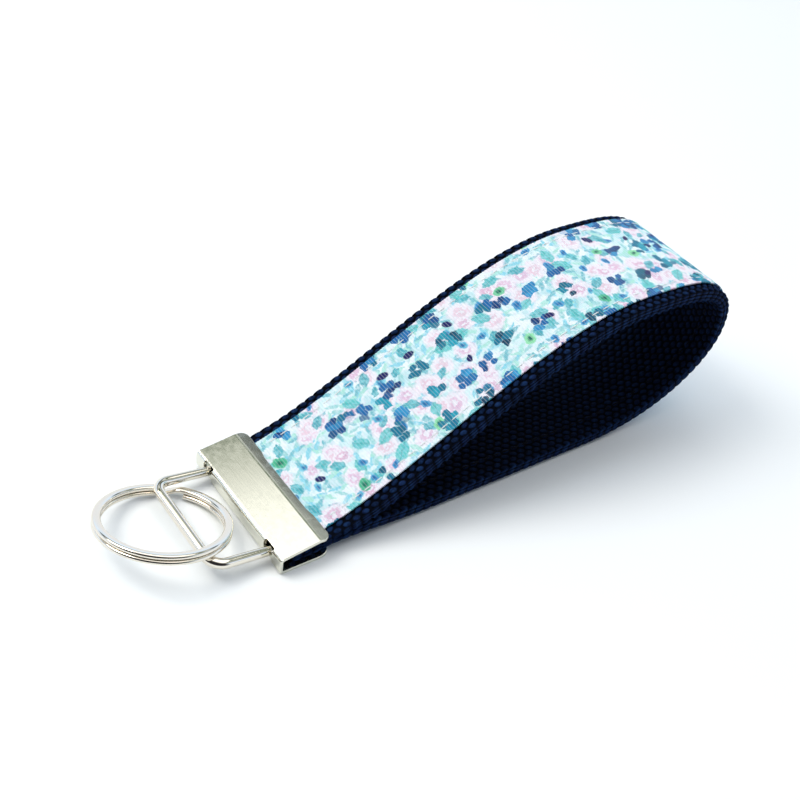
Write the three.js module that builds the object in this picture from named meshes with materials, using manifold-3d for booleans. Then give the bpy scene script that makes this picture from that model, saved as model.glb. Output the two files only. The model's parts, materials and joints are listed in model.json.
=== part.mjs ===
// Wristlet keychain: a folded webbing hand strap with a sewn ribbon, a stamped clamp on its two
// ends, a wire loop hinged in the clamp and a split ring on the loop.
// Millimetres. +X runs from the clamp to the nose of the strap, +Y across it, +Z up.
import * as THREE from "three";
import { mergeVertices } from "three/addons/utils/BufferGeometryUtils.js";
import Module from "manifold-3d";

const wasm = await Module();
wasm.setup();

// ---- webbing and ribbon ----
const WEBBING_WIDTH = 31;
const WEBBING_THICK = 2.9;
const RIBBON_MARGIN = 2.8;
const RIBBON_WIDTH = WEBBING_WIDTH - 2 * RIBBON_MARGIN;
const RIBBON_THICK = 0.45;
const RIBBON_GAP = 0.1;
const LOOP_LENGTH = 101.6;
const LOOP_HEIGHT = 36.8;
const PEAK_FROM_NOSE = 28.2;
const NOSE_HEIGHT = 21.8;
const BELLY_FROM_NOSE = 36;
const BELLY_END = 24;
const RISE_ANGLE = 18;
const RISE_HANDLE = 23.5;
const PEAK_HANDLE_BACK = 26.7;
const PEAK_HANDLE_FRONT = 10.5;
const NOSE_HANDLE_TOP = 15.5;
const NOSE_HANDLE_BOTTOM = 9.3;
const BELLY_HANDLE_NOSE = 23.5;
const BELLY_HANDLE_CLAMP = 11;
const EXIT_HANDLE = 5;
const SWELL_LENGTH = 11;

// ---- seams ----
const SEAM_INSET = 1.7;
const THREAD_WIDTH = 0.55;
const THREAD_HEIGHT = 0.22;
const NEEDLE_HEIGHT = 0.16;
const SEAM_GROOVE = 0.24;
const THREAD_CLEAR = 0.06;
const SEAM_START = 1.5;
const BOBBIN_START = 15;

// ---- clamp ----
const CLAMP_OVERHANG = 0.3;
const CLAMP_WIDTH = WEBBING_WIDTH + 2 * CLAMP_OVERHANG;
const CLAMP_LENGTH = 11;
const SHEET = 0.7;
const WIRE_DIAMETER = 2.1;
const WIRE_ROOM = 0.25;
const SPINE_HEIGHT = WIRE_DIAMETER + 2 * (SHEET + WIRE_ROOM);
const MOUTH_HEIGHT = 5.4;
const SPINE_RADIUS = 0.9;
const PLATE_CORNER = 1;
const LIP_RUN = 1.3;
const BEND_ROUND = 0.4;
const LIP_GRIP = 3.2;
const PLY_CLEAR = 0.14;
const PLY_SPACING = 0.2;
const TOOTH_COUNT = 11;
const TOOTH_NOTCH = 1.1;
const TOOTH_DEPTH = 0.35;

// ---- wire loop ----
const WIRE_LOOP_INSET = 3.3;
const WIRE_LOOP_WIDTH = CLAMP_WIDTH - 2 * WIRE_LOOP_INSET;
const WIRE_LOOP_REACH = 11.5;
const WIRE_CORNER = 2.9;
const WIRE_PIN_BEND = 1.4;
const WIRE_PIN_LENGTH = 5;
const PIN_CLEAR = 0.15;
const SLOT_CLEAR = 0.3;
const SLOT_WRAP = 1.3;

// ---- split ring ----
const RING_DIAMETER = 25.4;
const RING_BAND = 1.7;
const RING_COIL = 0.95;
const RING_COIL_GAP = 0.15;
const RING_EDGE = 0.25;
const RING_STEP_ANGLE = 26;
const RING_END_ANGLE = 41;
const RING_OFF_CLAMP = 2;
const RING_PAST_BAR = RING_DIAMETER / 2 - (WIRE_LOOP_REACH - RING_OFF_CLAMP);
const RING_ASIDE = 1.5;
const RING_LEAN = 50;
const RING_CLEAR = 0.27;

const rad = THREE.MathUtils.degToRad;

// ---- clamp frame: u from the mouth back to the spine (negative), v across the plates ----
const tipHalf = LIP_GRIP / 2;
const mouthHalf = MOUTH_HEIGHT / 2;
const spineHalf = SPINE_HEIGHT / 2;
const plateRun = CLAMP_LENGTH - LIP_RUN;
const wedge = Math.atan((mouthHalf - spineHalf) / plateRun);
const clampLift = mouthHalf * Math.cos(wedge) + LIP_RUN * Math.sin(wedge);
const wireRadius = WIRE_DIAMETER / 2;
const pinU = -CLAMP_LENGTH + SHEET + PIN_CLEAR + wireRadius;

// Turns a point of the clamp frame into the frame that the object lies in, flat on its lower plate.
function fromClamp(u, v) {
  const c = Math.cos(wedge);
  const s = Math.sin(wedge);
  return new THREE.Vector2(u * c - v * s, u * s + v * c + clampLift);
}

// Half height between the plates at u.
function innerHalf(u) {
  return spineHalf - SHEET + (u + CLAMP_LENGTH) * Math.tan(wedge);
}

// ---- strap path: the face of the webbing that the ribbon lies on ----
const backing = RIBBON_GAP + RIBBON_THICK;
const plyEnd = pinU + wireRadius + PIN_CLEAR;
const crestU = -LIP_RUN - 1.5;
const plyAt = (u) => innerHalf(u) - PLY_CLEAR - backing;
const plyAtLip = tipHalf - PLY_CLEAR - backing;
const beltZ = backing;

function clampRun(side) {
  const u = [plyEnd, crestU, -LIP_RUN, 0.3];
  const v = [plyAt(plyEnd), plyAt(crestU), plyAtLip, plyAtLip];
  return u.map((value, i) => fromClamp(value, side * v[i]));
}

function strapPath() {
  const top = clampRun(1);
  const bottom = clampRun(-1).reverse();
  const leave = top[3];
  const enter = bottom[0];
  const peak = new THREE.Vector2(LOOP_LENGTH - PEAK_FROM_NOSE, LOOP_HEIGHT - backing);
  const nose = new THREE.Vector2(LOOP_LENGTH - backing, NOSE_HEIGHT);
  const belly = new THREE.Vector2(LOOP_LENGTH - BELLY_FROM_NOSE, beltZ);
  const bellyEnd = new THREE.Vector2(BELLY_END, beltZ);
  const shift = (p, x, z) => new THREE.Vector2(p.x + x, p.y + z);
  const rise = rad(RISE_ANGLE);
  const along = new THREE.Vector2(Math.cos(wedge), Math.sin(wedge));
  const run = (a, b) => [new THREE.LineCurve(a, b), 1];
  return [
    run(top[0], top[1]),
    run(top[1], top[2]),
    run(top[2], leave),
    [
      new THREE.CubicBezierCurve(
        leave,
        shift(leave, RISE_HANDLE * Math.cos(rise), RISE_HANDLE * Math.sin(rise)),
        shift(peak, -PEAK_HANDLE_BACK, 0),
        peak,
      ),
      30,
    ],
    [
      new THREE.CubicBezierCurve(
        peak,
        shift(peak, PEAK_HANDLE_FRONT, 0),
        shift(nose, 0, NOSE_HANDLE_TOP),
        nose,
      ),
      16,
    ],
    [
      new THREE.CubicBezierCurve(
        nose,
        shift(nose, 0, -NOSE_HANDLE_BOTTOM),
        shift(belly, BELLY_HANDLE_NOSE, 0),
        belly,
      ),
      22,
    ],
    run(belly, bellyEnd),
    [
      new THREE.CubicBezierCurve(
        bellyEnd,
        shift(bellyEnd, -BELLY_HANDLE_CLAMP, 0),
        shift(enter, along.x * EXIT_HANDLE, along.y * EXIT_HANDLE),
        enter,
      ),
      14,
    ],
    run(enter, bottom[1]),
    run(bottom[1], bottom[2]),
    run(bottom[2], bottom[3]),
  ];
}

// Samples of the path with their outward normals and the run from the nearer clamp mouth.
function samplePath() {
  const pieces = strapPath();
  const points = [pieces[0][0].getPoint(0)];
  for (const [curve, steps] of pieces) {
    for (let i = 1; i <= steps; i += 1) points.push(curve.getPoint(i / steps));
  }
  const inClamp = 3;
  const last = points.length - 1;
  const lengths = [0];
  for (let i = 1; i <= last; i += 1) {
    lengths.push(lengths[i - 1] + points[i].distanceTo(points[i - 1]));
  }
  return points.map((p, i) => {
    const before = points[Math.max(i - 1, 0)];
    const after = points[Math.min(i + 1, last)];
    const tangent = after.clone().sub(before).normalize();
    const outside = Math.min(lengths[i] - lengths[inClamp], lengths[last - inClamp] - lengths[i]);
    return { p, normal: new THREE.Vector2(-tangent.y, tangent.x), outside };
  });
}

const stations = samplePath();

// Webbing is crushed between the plates and swells to its full thickness outside the mouth.
function webbingThick(station) {
  const { p, outside } = station;
  if (outside <= 0) {
    const axis = new THREE.Vector2(-Math.sin(wedge), Math.cos(wedge));
    const v = Math.abs(p.clone().sub(fromClamp(0, 0)).dot(axis));
    return v - PLY_SPACING / 2;
  }
  const atMouth = plyAtLip - PLY_SPACING / 2;
  const swell = THREE.MathUtils.smoothstep(outside, 0, SWELL_LENGTH);
  return THREE.MathUtils.lerp(atMouth, WEBBING_THICK, swell);
}

// A closed side outline between two offsets of the path.
function band(list, outer, inner) {
  const out = list.map((s) => s.p.clone().addScaledVector(s.normal, outer(s)));
  const back = list.map((s) => s.p.clone().addScaledVector(s.normal, inner(s))).reverse();
  return new THREE.Shape([...out, ...back]);
}

// Side outlines are drawn in X and Z, so the extrusion is turned to run along +Y.
function acrossY(shape, width, centre, options = {}) {
  const geometry = new THREE.ExtrudeGeometry(shape, { depth: width, bevelEnabled: false, ...options });
  geometry.rotateX(Math.PI / 2);
  geometry.translate(0, centre + width / 2, 0);
  return geometry;
}

function toSolid(geometry) {
  const plain = geometry.clone();
  plain.deleteAttribute("normal");
  plain.deleteAttribute("uv");
  const merged = mergeVertices(plain, 1e-5);
  return new wasm.Manifold(
    new wasm.Mesh({
      numProp: 3,
      vertProperties: new Float32Array(merged.attributes.position.array),
      triVerts: new Uint32Array(merged.index.array),
    }),
  );
}

function toGeometry(solid) {
  const mesh = solid.getMesh();
  const geometry = new THREE.BufferGeometry();
  geometry.setAttribute("position", new THREE.BufferAttribute(new Float32Array(mesh.vertProperties), 3));
  geometry.setIndex(new THREE.BufferAttribute(new Uint32Array(mesh.triVerts), 1));
  return geometry;
}

function cut(geometry, ...tools) {
  return toGeometry(tools.reduce((solid, tool) => solid.subtract(toSolid(tool)), toSolid(geometry)));
}

// ---- webbing, ribbon and the two seams ----
const webbing = acrossY(band(stations, () => 0, (s) => -webbingThick(s)), WEBBING_WIDTH, 0);

const seamY = RIBBON_WIDTH / 2 - SEAM_INSET;
const sewn = stations.filter((s) => s.outside >= SEAM_START);
const sewnInside = stations.filter((s) => s.outside >= BOBBIN_START);

// The ribbon is one section swept over the same stations, with a shallow groove under each seam.
class StrapRun extends THREE.Curve {
  getSpacedPoints() {
    return stations.map((s) => new THREE.Vector3(s.p.x, 0, s.p.y));
  }

  computeFrenetFrames() {
    const normals = stations.map((s) => new THREE.Vector3(s.normal.x, 0, s.normal.y));
    const binormals = normals.map(() => new THREE.Vector3(0, -1, 0));
    const tangents = normals.map((n) => new THREE.Vector3(n.z, 0, -n.x));
    return { tangents, normals, binormals };
  }
}

function ribbonSection() {
  const half = RIBBON_WIDTH / 2;
  const grooveHalf = THREAD_WIDTH / 2 + THREAD_CLEAR;
  const floor = backing - SEAM_GROOVE;
  const outline = [
    [RIBBON_GAP, -half],
    [backing, -half],
  ];
  for (const y of [-seamY, seamY]) {
    outline.push([backing, y - grooveHalf], [floor, y - grooveHalf]);
    outline.push([floor, y + grooveHalf], [backing, y + grooveHalf]);
  }
  outline.push([backing, half], [RIBBON_GAP, half]);
  return new THREE.Shape(outline.map(([n, y]) => new THREE.Vector2(n, y)));
}

const ribbon = new THREE.ExtrudeGeometry(ribbonSection(), {
  steps: stations.length - 1,
  extrudePath: new StrapRun(),
});

const needleFloor = backing - SEAM_GROOVE + THREAD_CLEAR;
const needle = (y) => {
  const side = band(sewn, () => needleFloor + NEEDLE_HEIGHT, () => needleFloor);
  return acrossY(side, THREAD_WIDTH, y);
};
const bobbin = (y) => {
  const near = (s) => -webbingThick(s) - THREAD_CLEAR;
  return acrossY(band(sewnInside, near, (s) => near(s) - THREAD_HEIGHT), THREAD_WIDTH, y);
};

// ---- clamp: one stamped sheet folded round the strap ends ----
function clampProfile() {
  const slope = new THREE.Vector2(LIP_RUN, tipHalf - mouthHalf).normalize();
  const bend = new THREE.Vector2(-LIP_RUN, mouthHalf);
  const lipInner = new THREE.Vector2(bend.x + slope.y * SHEET, bend.y - slope.x * SHEET);
  const innerTipU = lipInner.x + ((tipHalf - lipInner.y) * slope.x) / slope.y;
  const innerBendU = -LIP_RUN - SHEET * 0.95;
  const half = [
    [0, tipHalf],
    [innerTipU, tipHalf],
    [innerBendU, innerHalf(innerBendU)],
    [-CLAMP_LENGTH + SHEET, innerHalf(-CLAMP_LENGTH + SHEET)],
  ];
  const shape = new THREE.Shape();
  const to = (u, v) => {
    const p = fromClamp(u, v);
    return [p.x, p.y];
  };
  const round = SPINE_RADIUS;
  const bendDrop = BEND_ROUND * Math.tan(wedge);
  const lipDrop = (BEND_ROUND * -slope.y) / slope.x;
  const spineRise = round * Math.tan(wedge);
  const before = -LIP_RUN - BEND_ROUND;
  const after = -LIP_RUN + BEND_ROUND;
  shape.moveTo(...to(before, mouthHalf - bendDrop));
  shape.quadraticCurveTo(...to(-LIP_RUN, mouthHalf), ...to(after, mouthHalf - lipDrop));
  for (const [u, v] of half) shape.lineTo(...to(u, v));
  for (const [u, v] of half.reverse()) shape.lineTo(...to(u, -v));
  shape.lineTo(...to(after, -mouthHalf + lipDrop));
  shape.quadraticCurveTo(...to(-LIP_RUN, -mouthHalf), ...to(before, -mouthHalf + bendDrop));
  shape.lineTo(...to(-CLAMP_LENGTH + round, -spineHalf - spineRise));
  shape.quadraticCurveTo(...to(-CLAMP_LENGTH, -spineHalf), ...to(-CLAMP_LENGTH, -spineHalf + round));
  shape.lineTo(...to(-CLAMP_LENGTH, spineHalf - round));
  const [endX, endZ] = to(-CLAMP_LENGTH + round, spineHalf + spineRise);
  shape.quadraticCurveTo(...to(-CLAMP_LENGTH, spineHalf), endX, endZ);
  shape.closePath();
  return shape;
}

// A block in the clamp frame, from u0 to u1, v0 to v1 and y0 to y1.
function clampBlock(u0, u1, v0, v1, y0, y1) {
  const corners = [
    [u0, v0],
    [u1, v0],
    [u1, v1],
    [u0, v1],
  ];
  return acrossY(new THREE.Shape(corners.map(([u, v]) => fromClamp(u, v))), y1 - y0, (y0 + y1) / 2);
}

const armY = WIRE_LOOP_WIDTH / 2 - wireRadius;
const slotInner = armY - wireRadius - SLOT_CLEAR - 0.25;
const slotOuter = armY + wireRadius + SLOT_CLEAR;
const slot = (side) => {
  const [a, b] = side > 0 ? [slotInner, slotOuter] : [-slotOuter, -slotInner];
  return clampBlock(-CLAMP_LENGTH - 1, -CLAMP_LENGTH + SLOT_WRAP, -mouthHalf, mouthHalf, a, b);
};

// Teeth are what stands between notches along both lips.
function notches() {
  const pitch = CLAMP_WIDTH / TOOTH_COUNT;
  const tools = [];
  for (let i = 1; i < TOOTH_COUNT; i += 1) {
    const y = -CLAMP_WIDTH / 2 + i * pitch;
    const notch = new THREE.Shape([
      new THREE.Vector2(-TOOTH_NOTCH / 2, -tipHalf - TOOTH_DEPTH),
      new THREE.Vector2(TOOTH_NOTCH / 2, -tipHalf - TOOTH_DEPTH),
      new THREE.Vector2(TOOTH_NOTCH / 2, tipHalf + TOOTH_DEPTH),
      new THREE.Vector2(-TOOTH_NOTCH / 2, tipHalf + TOOTH_DEPTH),
    ]);
    const depth = LIP_RUN + 0.6;
    const geometry = new THREE.ExtrudeGeometry(notch, { depth, bevelEnabled: false });
    geometry.rotateX(Math.PI / 2);
    geometry.rotateZ(Math.PI / 2);
    geometry.rotateY(Math.PI / 2);
    geometry.rotateY(-wedge);
    geometry.computeBoundingBox();
    const centre = geometry.boundingBox.getCenter(new THREE.Vector3());
    const at = fromClamp(-LIP_RUN / 2 + 0.1, 0);
    geometry.translate(at.x - centre.x, y - centre.y, at.y - centre.z);
    tools.push(geometry);
  }
  return tools;
}

// Plan outline of the plates, with the mouth corners rounded.
function planOutline() {
  const x0 = -CLAMP_LENGTH - 1;
  const x1 = fromClamp(0, -mouthHalf).x + 0.6;
  const y = CLAMP_WIDTH / 2;
  const shape = new THREE.Shape();
  shape.moveTo(x0, -y);
  shape.lineTo(x1 - PLATE_CORNER, -y);
  shape.absarc(x1 - PLATE_CORNER, -y + PLATE_CORNER, PLATE_CORNER, -Math.PI / 2, 0, false);
  shape.absarc(x1 - PLATE_CORNER, y - PLATE_CORNER, PLATE_CORNER, 0, Math.PI / 2, false);
  shape.lineTo(x0, y);
  shape.closePath();
  const geometry = new THREE.ExtrudeGeometry(shape, { depth: 20, bevelEnabled: false, curveSegments: 6 });
  geometry.translate(0, 0, -7);
  return geometry;
}

const sheet = acrossY(clampProfile(), CLAMP_WIDTH, 0, { curveSegments: 6 });
const folded = cut(sheet, slot(1), slot(-1), ...notches());
const clamp = toGeometry(toSolid(folded).intersect(toSolid(planOutline())));

// ---- split ring pose: it leans under the loop's back arm and over the bar at the front ----
const pin = fromClamp(pinU, 0);
const reach = WIRE_LOOP_REACH + CLAMP_LENGTH + pinU;
const ringRadius = (RING_DIAMETER - RING_BAND) / 2;
const ringHeight = 2 * RING_COIL + RING_COIL_GAP;
const leanX = Math.cos(rad(RING_LEAN));
const leanY = Math.sin(rad(RING_LEAN));

function settle() {
  const side = Math.sqrt(ringRadius ** 2 - RING_PAST_BAR ** 2);
  const frontRun = Math.min(side, armY + RING_ASIDE);
  const frontX = Math.sqrt(ringRadius ** 2 - frontRun ** 2);
  const front = frontX * leanX - frontRun * leanY;
  const backRun = Math.min(side, armY - RING_ASIDE);
  const armX = Math.sqrt(ringRadius ** 2 - backRun ** 2);
  const bendX = RING_PAST_BAR + WIRE_CORNER;
  const cornerX = armX > bendX + wireRadius ? armX : Math.min(armX, bendX);
  const back = cornerX * leanX + Math.sqrt(ringRadius ** 2 - cornerX ** 2) * leanY;
  const stack = ringHeight / 2 + wireRadius + RING_CLEAR;
  let pitch = 0;
  let tilt = 0;
  for (let i = 0; i < 60; i += 1) {
    const slope = Math.tan(pitch);
    const height = stack / Math.cos(tilt);
    const gain = 2 * height + slope * (cornerX - frontX);
    tilt = Math.atan(gain / (back - front));
    const centre = (ringRadius + RING_BAND / 2) * Math.sin(tilt) + (ringHeight / 2) * Math.cos(tilt);
    const under = centre - Math.tan(tilt) * back + height;
    const run = reach * Math.cos(pitch) - (cornerX - RING_PAST_BAR);
    pitch = Math.atan((under - pin.y) / run);
  }
  return { pitch, tilt };
}

const { pitch, tilt } = settle();
const bar = new THREE.Vector3(pin.x - reach * Math.cos(pitch), 0, pin.y + reach * Math.sin(pitch));

// ---- wire loop: one bent wire, its two ends turned in along the fold of the clamp ----
function wireLoop() {
  const path = new THREE.CurvePath();
  const bend = WIRE_PIN_BEND;
  const corner = WIRE_CORNER;
  const stub = armY - WIRE_PIN_LENGTH;
  const at = (u, y) => new THREE.Vector3(pin.x - u * Math.cos(pitch), y, pin.y + u * Math.sin(pitch));
  const quarter = (a, b, c) => {
    const k = 0.5523;
    return new THREE.CubicBezierCurve3(a, a.clone().lerp(b, k), c.clone().lerp(b, k), c);
  };
  path.add(new THREE.LineCurve3(at(0, -stub), at(0, -armY + bend)));
  path.add(quarter(at(0, -armY + bend), at(0, -armY), at(bend, -armY)));
  path.add(new THREE.LineCurve3(at(bend, -armY), at(reach - corner, -armY)));
  path.add(quarter(at(reach - corner, -armY), at(reach, -armY), at(reach, -armY + corner)));
  path.add(new THREE.LineCurve3(at(reach, -armY + corner), at(reach, armY - corner)));
  path.add(quarter(at(reach, armY - corner), at(reach, armY), at(reach - corner, armY)));
  path.add(new THREE.LineCurve3(at(reach - corner, armY), at(bend, armY)));
  path.add(quarter(at(bend, armY), at(0, armY), at(0, armY - bend)));
  path.add(new THREE.LineCurve3(at(0, armY - bend), at(0, stub)));
  const section = new THREE.Shape();
  section.absarc(0, 0, wireRadius, 0, 2 * Math.PI, false);
  return new THREE.ExtrudeGeometry(section, { steps: 150, curveSegments: 8, extrudePath: path });
}

// ---- split ring: one flat wire wound twice, stepping from the lower coil to the upper ----
class Coil extends THREE.Curve {
  constructor(centre, normal) {
    super();
    this.centre = centre;
    this.normal = normal;
    this.side = new THREE.Vector3(0, 1, 0).cross(normal).normalize();
    this.ahead = normal.clone().cross(this.side);
    this.turn = 4 * Math.PI - rad(RING_STEP_ANGLE) - rad(2);
  }

  angle(t) {
    return rad(RING_END_ANGLE) - t * this.turn;
  }

  getPoint(t, target = new THREE.Vector3()) {
    const wound = t * this.turn;
    const full = 2 * Math.PI;
    const step = THREE.MathUtils.smoothstep(wound, full - rad(RING_STEP_ANGLE), full - rad(2));
    const rise = (RING_COIL + RING_COIL_GAP) * (step - 0.5);
    const a = this.angle(t);
    return target
      .copy(this.centre)
      .addScaledVector(this.side, ringRadius * Math.cos(a))
      .addScaledVector(this.ahead, ringRadius * Math.sin(a))
      .addScaledVector(this.normal, rise);
  }

  computeFrenetFrames(steps) {
    const tangents = [];
    const normals = [];
    const binormals = [];
    for (let i = 0; i <= steps; i += 1) {
      const a = this.angle(this.getUtoTmapping(i / steps));
      const out = this.side.clone().multiplyScalar(Math.cos(a));
      out.addScaledVector(this.ahead, Math.sin(a));
      tangents.push(out.clone().cross(this.normal));
      normals.push(out);
      binormals.push(this.normal.clone());
    }
    return { tangents, normals, binormals };
  }
}

function splitRing() {
  const normal = new THREE.Vector3(leanX * Math.sin(tilt), leanY * Math.sin(tilt), Math.cos(tilt));
  const height = (ringRadius + RING_BAND / 2) * Math.sin(tilt) + (ringHeight / 2) * Math.cos(tilt);
  const coil = new Coil(new THREE.Vector3(bar.x - RING_PAST_BAR, RING_ASIDE, height), normal);
  const a = RING_BAND / 2;
  const b = RING_COIL / 2;
  const e = RING_EDGE;
  const section = new THREE.Shape();
  section.moveTo(-a + e, -b);
  section.lineTo(a - e, -b);
  section.absarc(a - e, -b + e, e, -Math.PI / 2, 0, false);
  section.absarc(a - e, b - e, e, 0, Math.PI / 2, false);
  section.absarc(-a + e, b - e, e, Math.PI / 2, Math.PI, false);
  section.absarc(-a + e, -b + e, e, Math.PI, 1.5 * Math.PI, false);
  return new THREE.ExtrudeGeometry(section, { steps: 150, curveSegments: 1, extrudePath: coil });
}

// ---- assembly ----
function finish(color, metalness, roughness) {
  return new THREE.MeshStandardMaterial({ color, metalness, roughness });
}

const parts = [
  ["webbing_loop", webbing, finish("#0d1b3e", 0, 0.9)],
  ["printed_ribbon", ribbon, finish("#dfeaf0", 0, 0.7)],
  ["seam_front_needle_thread", needle(-seamY), finish("#f2f2ee", 0, 0.8)],
  ["seam_back_needle_thread", needle(seamY), finish("#f2f2ee", 0, 0.8)],
  ["seam_front_bobbin_thread", bobbin(-seamY), finish("#101c38", 0, 0.8)],
  ["seam_back_bobbin_thread", bobbin(seamY), finish("#101c38", 0, 0.8)],
  ["ribbon_clamp", clamp, finish("#c9c6b8", 1, 0.3)],
  ["wire_loop", wireLoop(), finish("#d8d6cf", 1, 0.15)],
  ["split_ring", splitRing(), finish("#d8d6cf", 1, 0.15)],
];

const box = new THREE.Box3();
for (const [, geometry] of parts) {
  geometry.computeBoundingBox();
  box.union(geometry.boundingBox);
}
const centre = box.getCenter(new THREE.Vector3());

const keychain = new THREE.Group();
keychain.name = "wristlet_keychain";
for (const [name, geometry, material] of parts) {
  geometry.translate(-centre.x, -centre.y, -box.min.z);
  const mesh = new THREE.Mesh(geometry, material);
  mesh.name = name;
  keychain.add(mesh);
}

export default keychain;
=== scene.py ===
import json
import math

import bmesh
import bpy
from mathutils import Matrix, Vector


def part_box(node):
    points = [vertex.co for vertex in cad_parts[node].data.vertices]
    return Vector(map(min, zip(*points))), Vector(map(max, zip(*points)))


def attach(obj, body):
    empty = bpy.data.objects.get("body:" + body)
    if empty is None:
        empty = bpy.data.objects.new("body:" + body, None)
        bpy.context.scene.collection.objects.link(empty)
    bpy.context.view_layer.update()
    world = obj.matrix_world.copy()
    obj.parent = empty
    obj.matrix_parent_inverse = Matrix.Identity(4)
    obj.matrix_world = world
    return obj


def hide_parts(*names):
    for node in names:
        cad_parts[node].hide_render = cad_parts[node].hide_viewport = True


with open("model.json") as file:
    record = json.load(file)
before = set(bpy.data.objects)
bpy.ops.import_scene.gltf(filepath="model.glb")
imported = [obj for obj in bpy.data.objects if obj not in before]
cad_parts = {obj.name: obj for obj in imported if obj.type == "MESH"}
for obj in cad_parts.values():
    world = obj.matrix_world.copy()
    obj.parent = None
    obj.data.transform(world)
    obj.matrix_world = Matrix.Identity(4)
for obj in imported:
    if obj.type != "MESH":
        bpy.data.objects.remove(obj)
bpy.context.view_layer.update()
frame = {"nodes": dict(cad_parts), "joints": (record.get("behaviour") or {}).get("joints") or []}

MM = 0.001

# ---- sizes, millimetres in the frame the keychain lies in ----
WEBBING_WIDTH = 31.0
WEBBING_THICK = 2.9
RIBBON_MARGIN = 2.8
RIBBON_WIDTH = WEBBING_WIDTH - 2 * RIBBON_MARGIN
RIBBON_THICK = 0.45
RIBBON_GAP = 0.1
BACKING = RIBBON_GAP + RIBBON_THICK
SEAM_INSET = 1.7
SEAM_Y = RIBBON_WIDTH / 2 - SEAM_INSET
STITCH_PITCH = 2.7
STITCH_LENGTH = 2.0
STITCH_WIDTH = 0.3

WIRE = 2.1
WIRE_ROOM = 0.25
PIN_CLEAR = 0.15
WIRE_LOOP_INSET = 3.3
SHEET = 0.7
CLAMP_OVERHANG = 0.3
CLAMP_WIDTH = WEBBING_WIDTH + 2 * CLAMP_OVERHANG
CLAMP_LENGTH = 11.0
SPINE_HALF = WIRE / 2 + SHEET + WIRE_ROOM
MOUTH_HALF = 2.63
LIP_RUN = 2.3
LIP_HALF = 2.16
SLOT_WRAP = 0.7
SLOT_INNER = 9.85
SLOT_OUTER = 12.8
WIRE_ROW = (CLAMP_WIDTH - WIRE) / 2 - WIRE_LOOP_INSET

# how the clamp grips the two plies
PLATE_RUN = 9.7
PLATE_RISE = 0.7
GRIP_RUN = CLAMP_LENGTH - PLATE_RUN
GRIP_HALF = 1.6
PLY_CLEAR = 0.14
HELD_RUN = 8.2

RING_DIAMETER = 25.4
RING_BAND = 1.7
RING_COIL = 0.95
RING_COIL_GAP = 0.15
RING_START = 41.0

# the strap's side line, measured from the clamp's mouth to the nose
LOOP_LENGTH = 101.6
LOOP_HEIGHT = 36.8
PEAK_FROM_NOSE = 28.2
NOSE_HEIGHT = 21.8
BELLY_FROM_NOSE = 36
BELLY_END = 24
RISE_ANGLE = math.radians(18)
RISE_HANDLE = 23.5
PEAK_HANDLES = 26.7, 10.5
NOSE_HANDLES = 15.5, 9.3
BELLY_HANDLES = 23.5, 11
EXIT_HANDLE = 5

# ---- places, worked out from the sizes and from the frame ----
WEDGE = math.atan(PLATE_RISE / PLATE_RUN)
CLAMP_LIFT = SPINE_HALF * math.cos(WEDGE) + CLAMP_LENGTH * math.sin(WEDGE)
MOUTH_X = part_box("printed_ribbon")[1].x / MM - LOOP_LENGTH
HINGES = {joint["name"]: Vector(joint["pos_m"]) / MM for joint in frame["joints"]}
PIN, BAR = HINGES["loop_hinge"], HINGES["ring_swing"]
REACH = (BAR - PIN).length
LOOP_PITCH = math.atan2(BAR.z - PIN.z, PIN.x - BAR.x)


def ring_lie():
    """The split ring's centre and its three axes, the last one up, as its CAD node lies."""
    coil = frame["nodes"]["split_ring"].data
    flat = [face.normal for face in coil.polygons if face.normal.z > 0.9]
    up = Vector([sorted(part)[len(flat) // 2] for part in zip(*flat)]).normalized()
    side = Vector((0, 1, 0)).cross(up).normalized()
    axes = (side, up.cross(side), up)
    centre = Vector()
    for axis in axes:
        spread = [axis.dot(point.co) for point in coil.vertices]
        centre += axis * (min(spread) + max(spread)) / 2
    return centre, axes


def in_clamp(run, half):
    """A point between the plates: run from the mouth, half a height off the middle."""
    return Vector((MOUTH_X, CLAMP_LIFT)) + Matrix.Rotation(WEDGE, 2) @ Vector((run, half))


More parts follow.
